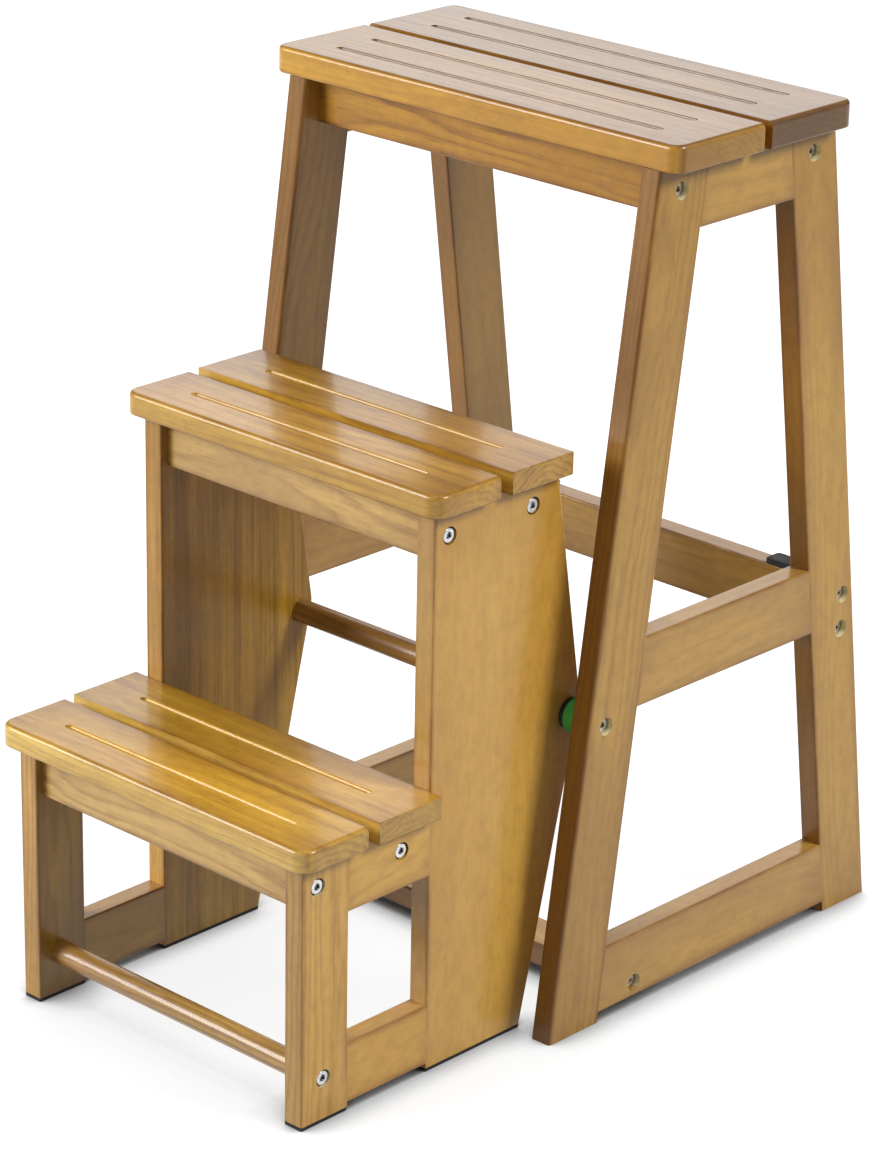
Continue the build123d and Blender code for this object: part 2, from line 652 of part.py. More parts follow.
def pivot_disc(x_low, x_high, radius):
    """Right-hand disc around the pivot bolt, between the panel and the stool's leg."""
    disc = x_rod(x_low, x_high, PIVOT_Y, PIVOT_HEIGHT, radius)
    disc = chamfer(disc.edges().filter_by(GeomType.CIRCLE), DISC_CHAMFER)
    hole_radius = BOLT_RADIUS + FIT_GAP
    return disc - x_rod(x_low - CUT_MARGIN, x_high + CUT_MARGIN, PIVOT_Y, PIVOT_HEIGHT, hole_radius)


# ---------------------------------------------------------------- nodes
nodes = {}


def add_pair(name, right_shape):
    """Store a right-hand shape and its mirror image as two nodes."""
    for side_name, side in SIDES.items():
        nodes[f"{name}_{side_name}"] = on_side(right_shape, side)


def both_sides(shapes):
    """Right-hand shapes together with their mirror images."""
    return [*shapes, *[mirrored(shape) for shape in shapes]]


# Stool
nodes["seat_board_front"] = seat_board(-1)
nodes["seat_board_rear"] = seat_board(1)
right_frame = frame_side()
for name in FRAME_OUTLINES:
    add_pair(name, frame_member(name, right_frame))
nodes["seat_apron_front"] = seat_apron(FRONT_APRON_Y)
nodes["seat_apron_rear"] = seat_apron(REAR_APRON_Y)
nodes["rear_cross_rail"] = rear_cross_rail()
nodes["lower_stretcher"] = lower_stretcher()
add_pair("rest_bumper", rest_bumper())

frame_bolts = []
frame_nuts = []
for member, centres in FRAME_BOLTS.items():
    for y, z in centres:
        frame_bolts.append(screw_bolt(FRAME_OUT - FRAME_HEAD_RECESS, y, z, BOLT_LENGTH, BOLT_RADIUS))
        frame_nuts.append(barrel_nut(FRAME_IN, y, z, y == CROSS_RAIL_Y))
nodes["frame_bolts"] = group(both_sides(frame_bolts))
nodes["frame_barrel_nuts"] = group(both_sides(frame_nuts))
add_pair("frame_joint_dowels", group(joint_dowels(frame_dowels(), FRAME_MID_X, DOWEL_RADIUS, 0)))
nodes["seat_dowels"] = group(
    board_dowel(x, y, SEAT_LOW, DOWEL_RADIUS, 0)
    for y in (FRONT_APRON_Y, REAR_APRON_Y) for x in SEAT_DOWEL_POSITIONS
)

# Step unit
treads = {
    "upper": (UPPER_TREAD_FRONT_Y, UPPER_TREAD_DEPTH, UPPER_TREAD_GAP, UPPER_TREAD_LOW),
    "lower": (STEP_FRONT_Y, LOWER_TREAD_DEPTH, LOWER_TREAD_GAP, LOWER_TREAD_LOW),
}
for level, (front_y, depth, gap, low) in treads.items():
    dowels = []
    for place, outer_side in (("front", -1), ("rear", 1)):
        apron = f"{level}_apron_{place}"
        apron_y = STEP_APRONS[apron][0]
        nodes[f"{level}_tread_{place}"] = tread_board(front_y, depth, gap, low, outer_side, apron_y)
        nodes[apron] = step_apron(apron)
        dowels += [board_dowel(x, apron_y, low, DOWEL_RADIUS, 0) for x in TREAD_DOWEL_POSITIONS]
    nodes[f"{level}_tread_dowels"] = group(dowels)

right_step_side = step_side()
for name in STEP_OUTLINES:
    add_pair(name, step_member(name, right_step_side))
add_pair("step_leg_pad", foot_pad(STEP_LEG_FRONT_Y, STEP_LEG_REAR_Y))
add_pair("step_panel_pad", foot_pad(PANEL_FRONT_Y, PANEL_FRONT_Y + PANEL_FOOT_DEPTH))
add_pair("step_joint_dowels", group(joint_dowels(step_dowels(), STEP_MID_X, DOWEL_RADIUS, 0)))

step_bolts = []
step_nuts = []
for y, z in STEP_APRONS.values():
    step_bolts.append(screw_bolt(STEP_OUT - STEP_HEAD_RECESS, y, z, BOLT_LENGTH, BOLT_RADIUS))
    step_nuts.append(barrel_nut(STEP_IN, y, z, False))
step_bolts.append(screw_bolt(STEP_OUT - STEP_HEAD_RECESS, FOOT_ROD_Y, FOOT_ROD_HEIGHT, BOLT_LENGTH,
                             BOLT_RADIUS))
nodes["step_bolts"] = group(both_sides(step_bolts))
nodes["step_barrel_nuts"] = group(both_sides(step_nuts))

nodes["foot_rod"] = round_rod(FOOT_ROD_Y, FOOT_ROD_HEIGHT)
nodes["pivot_rod"] = round_rod(PIVOT_Y, PIVOT_HEIGHT)
rod_end = STEP_IN + ROD_SOCKET_DEPTH - FIT_GAP
nodes["rod_inserts"] = group(both_sides([
    rod_insert(rod_end, FOOT_ROD_Y, FOOT_ROD_HEIGHT, BOLT_RADIUS + FIT_GAP),
    rod_insert(rod_end, PIVOT_Y, PIVOT_HEIGHT, BOLT_RADIUS + FIT_GAP),
]))

# Pivot
pad_end = STEP_OUT + PIVOT_PAD_THICKNESS
add_pair("pivot_bolt", screw_bolt(FRAME_OUT - FRAME_HEAD_RECESS + PIVOT_RUNNING_GAP, PIVOT_Y,
                                  PIVOT_HEIGHT, PIVOT_BOLT_LENGTH, BOLT_RADIUS))
add_pair("pivot_pad", pivot_disc(STEP_OUT, pad_end, PIVOT_PAD_RADIUS))
add_pair("pivot_spacer", pivot_disc(pad_end, FRAME_IN - PIVOT_RUNNING_GAP, PIVOT_SPACER_RADIUS))

# ---------------------------------------------------------------- output
os.makedirs("parts", exist_ok=True)
for node_name, shape in nodes.items():
    export_step(shape, f"parts/{node_name}.step")
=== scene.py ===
import math
import random

import bpy
from mathutils import Matrix, Vector


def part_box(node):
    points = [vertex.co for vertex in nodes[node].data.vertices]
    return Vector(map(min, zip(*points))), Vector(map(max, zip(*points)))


# Folding wooden step stool in honey-stained, lacquered wood, on a plain white floor.
# Everything is in metres. +Z is up, the treads face -Y and +X is the right side.

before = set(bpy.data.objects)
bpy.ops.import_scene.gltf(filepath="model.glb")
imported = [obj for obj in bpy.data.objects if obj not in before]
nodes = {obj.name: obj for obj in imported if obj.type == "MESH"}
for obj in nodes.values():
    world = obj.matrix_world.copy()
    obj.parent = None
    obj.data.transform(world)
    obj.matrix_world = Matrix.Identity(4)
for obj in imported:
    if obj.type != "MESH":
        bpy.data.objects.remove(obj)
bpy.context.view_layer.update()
scene = bpy.context.scene

# ---------------------------------------------------------------- camera
CAMERA_AZIMUTH = 43.098
CAMERA_ELEVATION = 21.375
CAMERA_ROLL = 1.100
CAMERA_DISTANCE = 2.9218
CAMERA_TARGET = Vector((0.0120, -0.0105, 0.2978))
CAMERA_LENS = 163.19
SENSOR_WIDTH = 36.0
CAMERA_REACH = 100.0


def direction_to(azimuth, elevation):
    """Unit vector towards a point seen at an azimuth (0 is the front) and an elevation, in degrees."""
    a = math.radians(azimuth)
    e = math.radians(elevation)
    return Vector((math.sin(a) * math.cos(e), -math.cos(a) * math.cos(e), math.sin(e)))


def add_camera():
    data = bpy.data.cameras.new("camera")
    data.lens = CAMERA_LENS
    data.sensor_fit = "HORIZONTAL"
    data.sensor_width = SENSOR_WIDTH
    data.clip_end = CAMERA_REACH
    camera = bpy.data.objects.new("camera", data)
    scene.collection.objects.link(camera)
    back = direction_to(CAMERA_AZIMUTH, CAMERA_ELEVATION)
    level_right = Vector((0, 0, 1)).cross(back).normalized()
    level_up = back.cross(level_right)
    roll = math.radians(CAMERA_ROLL)
    right = level_right * math.cos(roll) + level_up * math.sin(roll)
    up = back.cross(right)
    turn = Matrix((right, up, back)).transposed()
    camera.matrix_world = Matrix.Translation(CAMERA_TARGET + back * CAMERA_DISTANCE) @ turn.to_4x4()
    scene.camera = camera


# ---------------------------------------------------------------- shader building
class Graph:
    """Adds linked shader nodes to one node tree."""

    def __init__(self, tree):
        self.tree = tree

    def feed(self, socket, value):
        if isinstance(value, bpy.types.NodeSocket):
            self.tree.links.new(value, socket)
        else:
            socket.default_value = value

    def add(self, kind, inputs=None, **settings):
        node = self.tree.nodes.new(kind)
        for name, value in settings.items():
            setattr(node, name, value)
        for name, value in (inputs or {}).items():
            self.feed(node.inputs[name], value)
        return node

    def math(self, operation, *values, clamp=False):
        inputs = dict(enumerate(values))
        return self.add("ShaderNodeMath", inputs, operation=operation, use_clamp=clamp).outputs[0]

    def vector_math(self, operation, *values, output=0):
        inputs = dict(enumerate(values))
        return self.add("ShaderNodeVectorMath", inputs, operation=operation).outputs[output]

    def spread(self, value, low, high, to_low=0.0, to_high=1.0):
        """The value moved from one range to another, held inside it, with soft ends."""
        inputs = {"Value": value, "From Min": low, "From Max": high, "To Min": to_low, "To Max": to_high}
        return self.add("ShaderNodeMapRange", inputs, interpolation_type="SMOOTHSTEP").outputs[0]

    def stretched(self, vector, scale):
        return self.vector_math("MULTIPLY", vector, scale)

    def noise(self, vector, scale, detail=2.0, roughness=0.5, distortion=0.0, output="Fac"):
        inputs = {
            "Vector": vector,
            "Scale": scale,
            "Detail": detail,
            "Roughness": roughness,
            "Distortion": distortion,
        }
        return self.add("ShaderNodeTexNoise", inputs).outputs[output]

    def mix(self, factor, first, second, mode="MIX"):
        node = self.add("ShaderNodeMix", data_type="RGBA", blend_type=mode)
        self.feed(node.inputs[0], factor)
        self.feed(node.inputs[6], first)
        self.feed(node.inputs[7], second)
        return node.outputs[2]

    def ramp(self, factor, stops):
        """Grey ramp through (position, brightness) stops."""
        node = self.add("ShaderNodeValToRGB", {"Fac": factor})
        elements = node.color_ramp.elements
        while len(elements) < len(stops):
            elements.new(0.5)
        for element, (position, brightness) in zip(elements, stops):
            element.position = position
            element.color = (brightness, brightness, brightness, 1.0)
        return node.outputs["Color"]


def new_material(name):
    material = bpy.data.materials.new(name)
    material.use_nodes = True
    material.node_tree.nodes.clear()
    return material, Graph(material.node_tree)


def finish_material(graph, principled):
    output = graph.add("ShaderNodeOutputMaterial")
    graph.tree.links.new(principled.outputs["BSDF"], output.inputs["Surface"])


# ---------------------------------------------------------------- wood
# Growth rings: distance apart, brightness across one ring, wander of the pith and how uneven they are
RING_SPACING = 0.0050
RING_PROFILE = ((0.0, 0.30), (0.15, 0.0), (0.50, 0.15), (0.88, 1.0), (1.0, 0.30))
RING_UNEVEN = 2.8
RING_ON_END = 0.15
PITH_WANDER = (0.0, 0.060, 0.044)
PITH_ALONG = 3.0
PITH_ASIDE = 0.02
PITH_BELOW = (0.03, 0.07)

# Noise cycles per metre along the grain, across the board and through it
PITH_NOISE = (2.6, 7.0, 7.0)
RING_NOISE = (4.0, 40.0, 40.0)
FIBRE_NOISE = (7.0, 520.0, 520.0)
PORE_NOISE = (60.0, 1500.0, 1500.0)
STREAK_NOISE = (2.5, 95.0, 95.0)
CLOUD_NOISE = (5.0, 11.0, 11.0)
MOTTLE_NOISE = (80.0, 150.0, 150.0)
HAZE_NOISE = (7.0, 16.0, 16.0)
EDGE_NOISE = (22.0, 60.0, 60.0)

# How strongly each layer shows at most
STREAK_SHARE = 0.40
FIBRE_SHARE = 0.22
PORE_SHARE = 0.35
CLOUD_SHARE = 0.8
MOTTLE_SHARE = 0.55

# Distances from a board's own sides: stain line, side face, and first hole wall
EDGE_LINE_WIDTH = 0.0045
SIDE_DEPTH = (0.007, 0.005)
BORE_DEPTH = (0.004, 0.006)

PORE_COLOUR = (0.13, 0.060, 0.020, 1.0)
BORE_COLOUR = (0.86, 0.74, 0.42, 1.0)
HAZE_TINT = (0.64, 0.55, 0.48, 1.0)
MOTTLE_TINT = (0.80, 0.77, 0.70, 1.0)
EDGE_LINE_TINT = (0.62, 0.50, 0.40, 1.0)
# Groove tints: the pale one lightens the tread grooves, the dark one darkens the seat grooves as painted
# shade.
PALE_GROOVE = (1.20, 1.28, 1.05, 1.0)
PAINTED_GROOVE_SHADE = (0.70, 0.58, 0.26, 1.0)

# Lacquer and relief of the grain
LACQUER_ROUGHNESS = (0.32, 0.42)
PORE_ROUGHNESS = 0.12
FIBRE_HEIGHT = 0.5
PORE_HEIGHT = 0.4
RING_HEIGHT = 0.2
GRAIN_DEPTH = 0.00010
COAT_ROUGHNESS = 0.14
LACQUER_IOR = 1.44


def add_sockets(tree, way, sockets):
    for name, kind in sockets:
        tree.interface.new_socket(name=name, in_out=way, socket_type="NodeSocket" + kind)


def growth_rings(graph, grain):
    """Dark latewood rings about a pith line that wanders along the board."""
    bend = graph.noise(graph.stretched(grain, PITH_NOISE), 1.0, 2.0, 0.45, output="Color")
    bend = graph.vector_math("SUBTRACT", bend, (0.5, 0.5, 0.5))
    bend = graph.vector_math("MULTIPLY", bend, PITH_WANDER)
    across = graph.vector_math("ADD", graph.vector_math("MULTIPLY", grain, (0.0, 1.0, 1.0)), bend)
    radius = graph.vector_math("LENGTH", across, output="Value")
    uneven = graph.noise(graph.stretched(grain, RING_NOISE), 1.0, 3.0, 0.6)
    count = graph.math("DIVIDE", radius, RING_SPACING)
    count = graph.math("ADD", count, graph.math("MULTIPLY", uneven, RING_UNEVEN))
    return graph.ramp(graph.math("FRACT", count), RING_PROFILE)


def toner_haze(graph, place, half_size):
    """Where the sprayed stain gathers: towards the long edges and the ends, unevenly."""
    share = graph.vector_math("ABSOLUTE", graph.vector_math("DIVIDE", place, half_size))
    parts = graph.add("ShaderNodeSeparateXYZ", {0: share}).outputs
    at_edges = graph.spread(parts["Y"], 0.45, 1.05)
    at_ends = graph.spread(parts["X"], 0.66, 1.0)
    gathered = graph.math("MAXIMUM", at_edges, at_ends)
    uneven = graph.noise(graph.stretched(place, HAZE_NOISE), 1.0, 2.0, 0.5)
    return graph.math("MULTIPLY", gathered, graph.spread(uneven, 0.35, 0.65, 0.35, 1.0))


def depth_inside(graph, place, half_size):
    """Distance of a place from the board's ends (X), sides (Y) and faces (Z)."""
    depth = graph.vector_math("SUBTRACT", half_size, graph.vector_math("ABSOLUTE", place))
    return graph.add("ShaderNodeSeparateXYZ", {0: depth}).outputs


def edge_line(graph, place, depth):
    """Narrow band along the long edges, where rubbed-in stain stays darker."""
    near_side = graph.spread(depth["Y"], EDGE_LINE_WIDTH, 0.0)
    near_face = graph.spread(depth["Z"], EDGE_LINE_WIDTH, 0.0)
    uneven = graph.noise(graph.stretched(place, EDGE_NOISE), 1.0, 2.0, 0.5)
    line = graph.math("MULTIPLY", near_side, near_face)
    return graph.math("MULTIPLY", line, graph.spread(uneven, 0.35, 0.65, 0.25, 0.9))


def wood_group():
    """Node group that turns a place on a board, X along its grain, into colour, roughness and height."""
    tree = bpy.data.node_groups.new("stained_wood", "ShaderNodeTree")
    add_sockets(tree, "INPUT", (
        ("Place", "Vector"), ("Facing", "Vector"), ("Pith", "Vector"), ("Half Size", "Vector"),
        ("Light Tone", "Color"), ("Dark Tone", "Color"), ("Stain Tone", "Color"),
        ("Edge Tint", "Color"), ("End Tint", "Color"), ("Groove Tint", "Color"),
        ("Figure", "Float"), ("Grain", "Float"),
        ("Haze", "Float"), ("Bores", "Float"),
    ))
    add_sockets(tree, "OUTPUT", (("Color", "Color"), ("Roughness", "Float"), ("Height", "Float")))
    graph = Graph(tree)
    source = graph.add("NodeGroupInput").outputs
    place = source["Place"]
    grain = graph.vector_math("ADD", place, source["Pith"])
    depth = depth_inside(graph, place, source["Half Size"])
    facing = graph.vector_math("ABSOLUTE", source["Facing"])
    facing = graph.add("ShaderNodeSeparateXYZ", {0: facing}).outputs
    on_end = graph.spread(facing["X"], 0.45, 0.9)

    # Rings, fibres and wide streaks along the grain, from light to dark
    rings = growth_rings(graph, grain)
    fibres = graph.noise(graph.stretched(grain, FIBRE_NOISE), 1.0, 3.0, 0.6)
    streaks = graph.noise(graph.stretched(grain, STREAK_NOISE), 1.0, 3.0, 0.55)
    streak_lines = graph.spread(streaks, 0.38, 0.74, 0.0, STREAK_SHARE)
    fibre_lines = graph.spread(fibres, 0.42, 0.75, 0.0, FIBRE_SHARE)
    lines = graph.math("MULTIPLY", graph.math("ADD", streak_lines, fibre_lines), source["Grain"])
    ring_strength = graph.math("ADD", source["Figure"], graph.math("MULTIPLY", on_end, RING_ON_END))
    figure = graph.math("ADD", graph.math("MULTIPLY", rings, ring_strength), lines, clamp=True)
    colour = graph.mix(figure, source["Light Tone"], source["Dark Tone"])

    # Cloudy stain, open pores and a fine mottle
    clouds = graph.noise(graph.stretched(grain, CLOUD_NOISE), 1.0, 2.0, 0.5)
    colour = graph.mix(graph.spread(clouds, 0.42, 0.72, 0.0, CLOUD_SHARE), colour, source["Stain Tone"])
    pores = graph.spread(graph.noise(graph.stretched(grain, PORE_NOISE), 1.0, 1.0, 0.5), 0.64, 0.74)
    pore_strength = graph.math("MULTIPLY", source["Grain"], PORE_SHARE)
    colour = graph.mix(graph.math("MULTIPLY", pores, pore_strength), colour, PORE_COLOUR)
    mottle = graph.noise(graph.stretched(grain, MOTTLE_NOISE), 1.0, 3.0, 0.6)
    colour = graph.mix(graph.spread(mottle, 0.38, 0.68, 0.0, MOTTLE_SHARE), colour, MOTTLE_TINT, "MULTIPLY")

    # Gathered stain, then tints of the narrow faces, the grooves, the end grain and the edges
    haze = graph.math("MULTIPLY", toner_haze(graph, place, source["Half Size"]), source["Haze"])
    colour = graph.mix(haze, colour, HAZE_TINT, "MULTIPLY")
    at_side = graph.spread(depth["Y"], *SIDE_DEPTH)
    on_side = graph.math("MULTIPLY", graph.spread(facing["Y"], 0.45, 0.9), at_side)
    colour = graph.mix(on_side, colour, source["Edge Tint"], "MULTIPLY")
    # Groove tint: on the seat boards it darkens the grooves as painted shade.
    in_groove = graph.spread(facing["Y"], 0.05, 0.35)
    in_groove = graph.math("MULTIPLY", in_groove, graph.math("SUBTRACT", 1.0, at_side))
    colour = graph.mix(in_groove, colour, source["Groove Tint"], "MULTIPLY")
    colour = graph.mix(on_end, colour, source["End Tint"], "MULTIPLY")
    colour = graph.mix(edge_line(graph, place, depth), colour, EDGE_LINE_TINT, "MULTIPLY")

    # Pale colour on the walls of the bolt holes
    inside = graph.spread(depth["Y"], *BORE_DEPTH)
    bores = graph.math("MULTIPLY", inside, graph.spread(facing["Z"], 0.75, 0.5))
    bores = graph.math("MULTIPLY", bores, source["Bores"])
    colour = graph.mix(bores, colour, BORE_COLOUR)

    roughness = graph.spread(fibres, 0.3, 0.7, *LACQUER_ROUGHNESS)
    roughness = graph.math("ADD", roughness, graph.math("MULTIPLY", pores, PORE_ROUGHNESS))
    height = graph.math("MULTIPLY", fibres, FIBRE_HEIGHT)
    height = graph.math("SUBTRACT", height, graph.math("MULTIPLY", pores, PORE_HEIGHT))
    height = graph.math("SUBTRACT", height, graph.math("MULTIPLY", rings, RING_HEIGHT))

    result = graph.add("NodeGroupOutput").inputs
    graph.feed(result["Color"], colour)
    graph.feed(result["Roughness"], roughness)
    graph.feed(result["Height"], height)
    return tree


WOOD = wood_group()

# Tones of the stained wood: light, dark and cloudy stain, then tints of narrow faces and of end grain. Part
# of the differences between tones, and part of how far the narrow-face tints lighten or darken the narrow
# faces, is painted light and shade, not stain.
TONES = {
    "frame": (
        (0.55, 0.305, 0.048), (0.29, 0.138, 0.015), (0.39, 0.20, 0.034),
        (0.68, 0.565, 0.27), (0.6, 0.5, 0.4),
    ),
    # Darker copy of the frame tone for the left rear leg: the darkness is painted shade.
    "back": (
        (0.30, 0.162, 0.022), (0.18, 0.084, 0.008), (0.22, 0.115, 0.016),
        (1.35, 1.20, 0.75), (0.7, 0.6, 0.4),
    ),
    "rail": (
        (0.55, 0.305, 0.050), (0.33, 0.155, 0.020), (0.44, 0.235, 0.042),
        (1.0, 1.0, 1.0), (0.8, 0.8, 0.8),
    ),
    "panel": (
        (0.72, 0.415, 0.076), (0.42, 0.18, 0.018), (0.62, 0.32, 0.044),
        (0.84, 0.87, 1.1), (0.8, 0.8, 0.8),
    ),
    # Darker copy of the panel tone for the left-hand step parts: the darkness is painted shade.
    "shade": (
        (0.55, 0.315, 0.030), (0.18, 0.083, 0.005), (0.32, 0.170, 0.012),
        (1.45, 1.42, 3.2), (0.9, 0.9, 0.9),
    ),
    "seat": (
        (0.36, 0.180, 0.022), (0.20, 0.085, 0.009), (0.28, 0.130, 0.016),
        (2.35, 2.55, 1.2), (1.45, 1.60, 1.1),
    ),
    "seat_rear": (
        (0.30, 0.145, 0.018), (0.16, 0.065, 0.007), (0.23, 0.105, 0.012),
        (1.5, 1.5, 1.0), (0.62, 0.57, 0.2),
    ),
    "upper": (
        (0.55, 0.290, 0.030), (0.26, 0.106, 0.008), (0.42, 0.200, 0.018),
        (1.55, 1.85, 2.5), (1.25, 1.40, 1.7),
    ),
    # Brighter than the upper tread tone: the extra brightness of the lower step is painted light.
    "lower": (
        (0.70, 0.400, 0.044), (0.36, 0.155, 0.012), (0.57, 0.295, 0.028),
        (1.55, 1.95, 4.0), (1.0, 1.08, 1.4),
    ),
    "apron": (
        (0.62, 0.310, 0.026), (0.31, 0.13, 0.011), (0.44, 0.20, 0.018),
        (0.9, 0.9, 0.9), (0.8, 0.8, 0.8),
    ),
    # Paler copy of the apron tone for the step aprons: the extra paleness is a painted whitish sheen.
    "pale_apron": (
        (0.72, 0.46, 0.125), (0.34, 0.17, 0.034), (0.50, 0.29, 0.085),
        (0.9, 0.9, 0.9), (0.8, 0.8, 0.8),
    ),
    "rod": (
        (0.56, 0.33, 0.090), (0.22, 0.095, 0.022), (0.38, 0.19, 0.048),
        (1.0, 1.0, 1.0), (0.7, 0.7, 0.7),
    ),
    "dark_rod": (
        (0.50, 0.27, 0.060), (0.11, 0.042, 0.010), (0.28, 0.13, 0.028),
        (1.0, 1.0, 1.0), (0.7, 0.7, 0.7),
    ),
    "raw": (
        (0.66, 0.50, 0.30), (0.50, 0.34, 0.18), (0.60, 0.43, 0.25),
        (1.0, 1.0, 1.0), (0.8, 0.8, 0.8),
    ),
}


def half_size(node, axes):
    """Half lengths of a node's box along three axes."""
    low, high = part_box(node)
    half = (high - low) / 2
    return Vector([sum(abs(axis[i]) * half[i] for i in range(3)) for axis in axes])


def wood_material(name, tone, axes, seed, figure, grain, haze, coat):
    """Lacquered wood whose grain runs along the first of three axes; the third is the board's thickness."""
    draw = random.Random(seed)
    material, graph = new_material(name)
    source = graph.add("ShaderNodeTexCoord").outputs
    turn = Matrix(axes).to_euler("XYZ")
    shift = -(Matrix(axes) @ piece_centre(name))
    pith = Vector((
        draw.uniform(-PITH_ALONG, PITH_ALONG),
        draw.uniform(-PITH_ASIDE, PITH_ASIDE),
        draw.uniform(*PITH_BELOW),
    ))
    half = half_size(name, axes)
    bored = "_leg_" in name or name.startswith("bottom_rail")
    if name.startswith(("front_leg", "rear_leg")):
        half.y = LEG_WIDTH / 2
    placing = {"Vector": source["Object"], "Location": shift, "Rotation": turn}
    place = graph.add("ShaderNodeMapping", placing)
    turning = {"Vector": source["Normal"], "Rotation": turn}
    facing = graph.add("ShaderNodeMapping", turning, vector_type="VECTOR")
    light, dark, stain, edge, end = TONES[tone]
    wood = graph.add("ShaderNodeGroup", node_tree=WOOD)
    values = {
        "Place": place.outputs[0], "Facing": facing.outputs[0], "Pith": pith, "Half Size": half,
        "Light Tone": (*light, 1.0), "Dark Tone": (*dark, 1.0), "Stain Tone": (*stain, 1.0),
        "Edge Tint": (*edge, 1.0), "End Tint": (*end, 1.0), "Figure": figure, "Grain": grain,
        "Groove Tint": PAINTED_GROOVE_SHADE if tone.startswith("seat") else PALE_GROOVE,
        "Haze": haze, "Bores": float(bored),
    }
    for socket, value in values.items():
        graph.feed(wood.inputs[socket], value)
    bump = graph.add(
        "ShaderNodeBump", {"Strength": 1.0, "Distance": GRAIN_DEPTH, "Height": wood.outputs["Height"]}
    )
    principled = graph.add(
        "ShaderNodeBsdfPrincipled",
        {
            "Base Color": wood.outputs["Color"],
            "Roughness": wood.outputs["Roughness"],
            "IOR": LACQUER_IOR,
            "Coat Weight": coat,
            "Coat Roughness": COAT_ROUGHNESS,
            "Normal": bump.outputs[0],
        },
    )
    finish_material(graph, principled)
    return material


# ---------------------------------------------------------------- other materials
STAIN_GREY = (0.32, 0.31, 0.30, 1.0)
PAINTED_RECESS_SHADE = (0.012, 0.012, 0.012, 1.0)
PAINTED_RECESS_SHADE_REACH = 0.0025
METAL_CLOUD_SCALE = 260.0
TURNING_MARKS = (2500.0, 2500.0, 400.0)
TURNING_DEPTH = 0.00004
DUST_SCALE = 130.0
DUST_GAIN = 1.8
DUST_LIFT = 0.006
PEBBLE_DEPTH = 0.00008
RUBBER_IOR = 1.5


def metal_material(name, colour, roughness):
    """Bright plated steel with fine turning marks, small stains and painted shade in its recesses."""
    material, graph = new_material(name)
    place = graph.add("ShaderNodeTexCoord").outputs["Object"]
    cloud = graph.noise(place, METAL_CLOUD_SCALE, 3.0, 0.6)
    fine = graph.noise(graph.stretched(place, TURNING_MARKS), 1.0, 2.0)
    tint = graph.mix(graph.spread(cloud, 0.4, 0.7, 0.0, 0.35), (*colour, 1.0), STAIN_GREY)
    # Painted shade: recesses such as the hex sockets turn near black by ambient occlusion.
    recess = graph.add("ShaderNodeAmbientOcclusion", {"Distance": PAINTED_RECESS_SHADE_REACH}, samples=8).outputs["AO"]
    tint = graph.mix(graph.spread(recess, 0.35, 0.85), PAINTED_RECESS_SHADE, tint)
    rough = graph.spread(cloud, 0.3, 0.7, roughness, roughness + 0.14)
    rough = graph.math("ADD", rough, graph.math("MULTIPLY", fine, 0.05))
    bump = graph.add("ShaderNodeBump", {"Strength": 0.6, "Distance": TURNING_DEPTH, "Height": fine})
    principled = graph.add(
        "ShaderNodeBsdfPrincipled",
        {"Base Color": tint, "Metallic": 1.0, "Roughness": rough, "Normal": bump.outputs[0]},
    )
    finish_material(graph, principled)
    return material


def rubber_material(name, colour, roughness, grain):
    """Moulded rubber or plastic with a fine pebbled surface and slight dust."""
    material, graph = new_material(name)
    place = graph.add("ShaderNodeTexCoord").outputs["Object"]
    pebble = graph.noise(place, grain, 2.0, 0.55)
    dust = graph.noise(place, DUST_SCALE, 3.0, 0.6)
    dusty = tuple(c * DUST_GAIN + DUST_LIFT for c in colour)
    tint = graph.mix(graph.spread(dust, 0.5, 0.8, 0.0, 0.25), (*colour, 1.0), (*dusty, 1.0))
    rough = graph.spread(dust, 0.3, 0.7, roughness, roughness + 0.15)
    bump = graph.add("ShaderNodeBump", {"Strength": 0.7, "Distance": PEBBLE_DEPTH, "Height": pebble})
    principled = graph.add(
        "ShaderNodeBsdfPrincipled",
        {"Base Color": tint, "Roughness": rough, "IOR": RUBBER_IOR, "Normal": bump.outputs[0]},
    )
    finish_material(graph, principled)
    return material


# ---------------------------------------------------------------- which wood goes where
ALONG_X = (Vector((1, 0, 0)), Vector((0, 1, 0)), Vector((0, 0, 1)))
ALONG_X_UPRIGHT = (Vector((1, 0, 0)), Vector((0, 0, 1)), Vector((0, -1, 0)))
ALONG_Y = (Vector((0, 1, 0)), Vector((0, 0, 1)), Vector((1, 0, 0)))
ALONG_Z = (Vector((0, 0, 1)), Vector((1, 0, 0)), Vector((0, 1, 0)))
UPRIGHT_SIDE = (Vector((0, 0, 1)), Vector((0, 1, 0)), Vector((-1, 0, 0)))
LEG_WIDTH = 0.051
UPRIGHT_DOWELS = ("seat_dowels", "upper_tread_dowels", "lower_tread_dowels")


def piece_centre(node):
    low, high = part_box(node)
    return (low + high) / 2


def leg_axes(node, way):
    """Grain axes of a splayed leg that leans along +Y (way 1) or -Y (way -1) towards the seat."""
    low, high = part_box(node)
    lean = math.atan2(high.y - low.y - LEG_WIDTH, high.z - low.z) * way
    along = Vector((0, math.sin(lean), math.cos(lean)))
    across = Vector((0, math.cos(lean), -math.sin(lean)))
    return (along, across, Vector((-1, 0, 0)))


